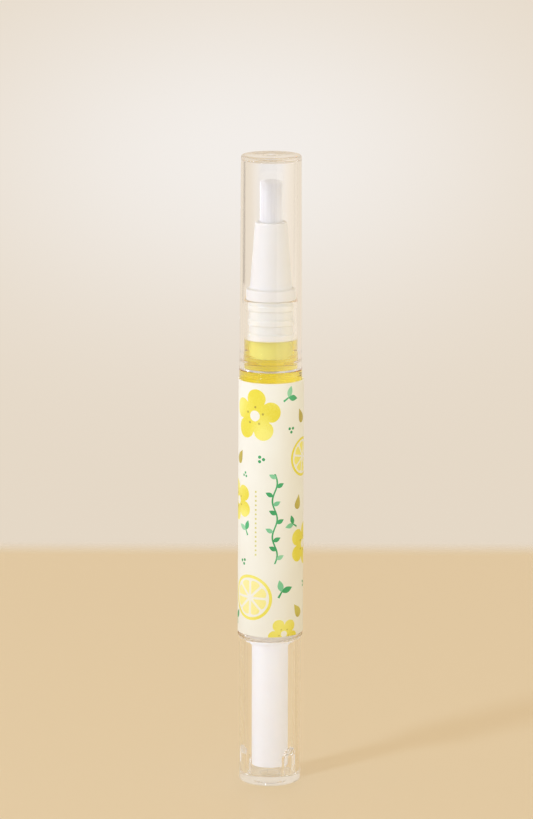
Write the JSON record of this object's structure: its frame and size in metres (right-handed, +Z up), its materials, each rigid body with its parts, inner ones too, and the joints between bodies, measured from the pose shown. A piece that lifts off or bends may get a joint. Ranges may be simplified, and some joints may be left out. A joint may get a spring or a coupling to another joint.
{
  "type": "nail oil pen",
  "caption": "Slim twist-up pen for nail oil: clear pull-off cap over a brush nozzle, labelled oil barrel, and a clear knob that turns to feed the oil.",
  "frame": {"origin": "centre of the knob's standing foot", "axes": "+Z up along the pen, towards the cap's closed end; -Y is the side that the picture shows"},
  "size_m": [0.0136, 0.0136, 0.132],
  "materials": {
    "clear_cap": "clear moulded styrene, polished",
    "clear_barrel": "clear moulded copolyester, polished",
    "clear_knob": "clear moulded styrene, polished",
    "label_film": "printed cream label, satin",
    "white_plastic": "white moulded polypropylene, satin",
    "natural_plastic": "unpigmented moulded polyethylene",
    "nylon": "fine nylon bristles",
    "feed_parts": "white moulded acetal",
    "seal_rubber": "pale silicone rubber",
    "oil": "clear golden oil"
  },
  "bodies": {
    "barrel": {"barrel": "clear_barrel", "label": "label_film", "retaining_ring": "feed_parts", "ratchet_ring": "feed_parts", "thread_nut": "feed_parts", "oil_chamber": "oil", "oil_neck": "oil", "neck_plug": "natural_plastic", "feed_tube": "natural_plastic", "nozzle": "white_plastic", "brush_holder": "white_plastic", "brush_bristles": "nylon"},
    "knob": {"knob": "clear_knob", "drive_tube": "white_plastic", "click_spring": "feed_parts"},
    "rod": {"screw_rod": "feed_parts"},
    "piston": {"piston": "feed_parts", "piston_front_ring": "seal_rubber", "piston_rear_ring": "seal_rubber"},
    "cap": {"cap": "clear_cap"}
  },
  "joints": [
    {"name": "knob_turn", "type": "hinge", "parent": "barrel", "child": "knob", "pos_m": [0, 0, 0], "axis": [0, 0, 1], "range_deg": [0, 5400]},
    {"name": "rod_feed", "type": "slide", "parent": "knob", "child": "rod", "axis": [0, 0, 1], "range_m": [0, 0.03]},
    {"name": "piston_feed", "type": "slide", "parent": "barrel", "child": "piston", "axis": [0, 0, 1], "range_m": [0, 0.03], "deforming": ["oil_chamber"]},
    {"name": "cap_pull", "type": "slide", "parent": "barrel", "child": "cap", "axis": [0, 0, 1], "range_m": [0, 0.045]}
  ],
  "couplings": [
    {"joint": "rod_feed", "follows": "knob_turn", "m_per_rad": 0.00031831},
    {"joint": "piston_feed", "follows": "knob_turn", "m_per_rad": 0.00031831}
  ]
}
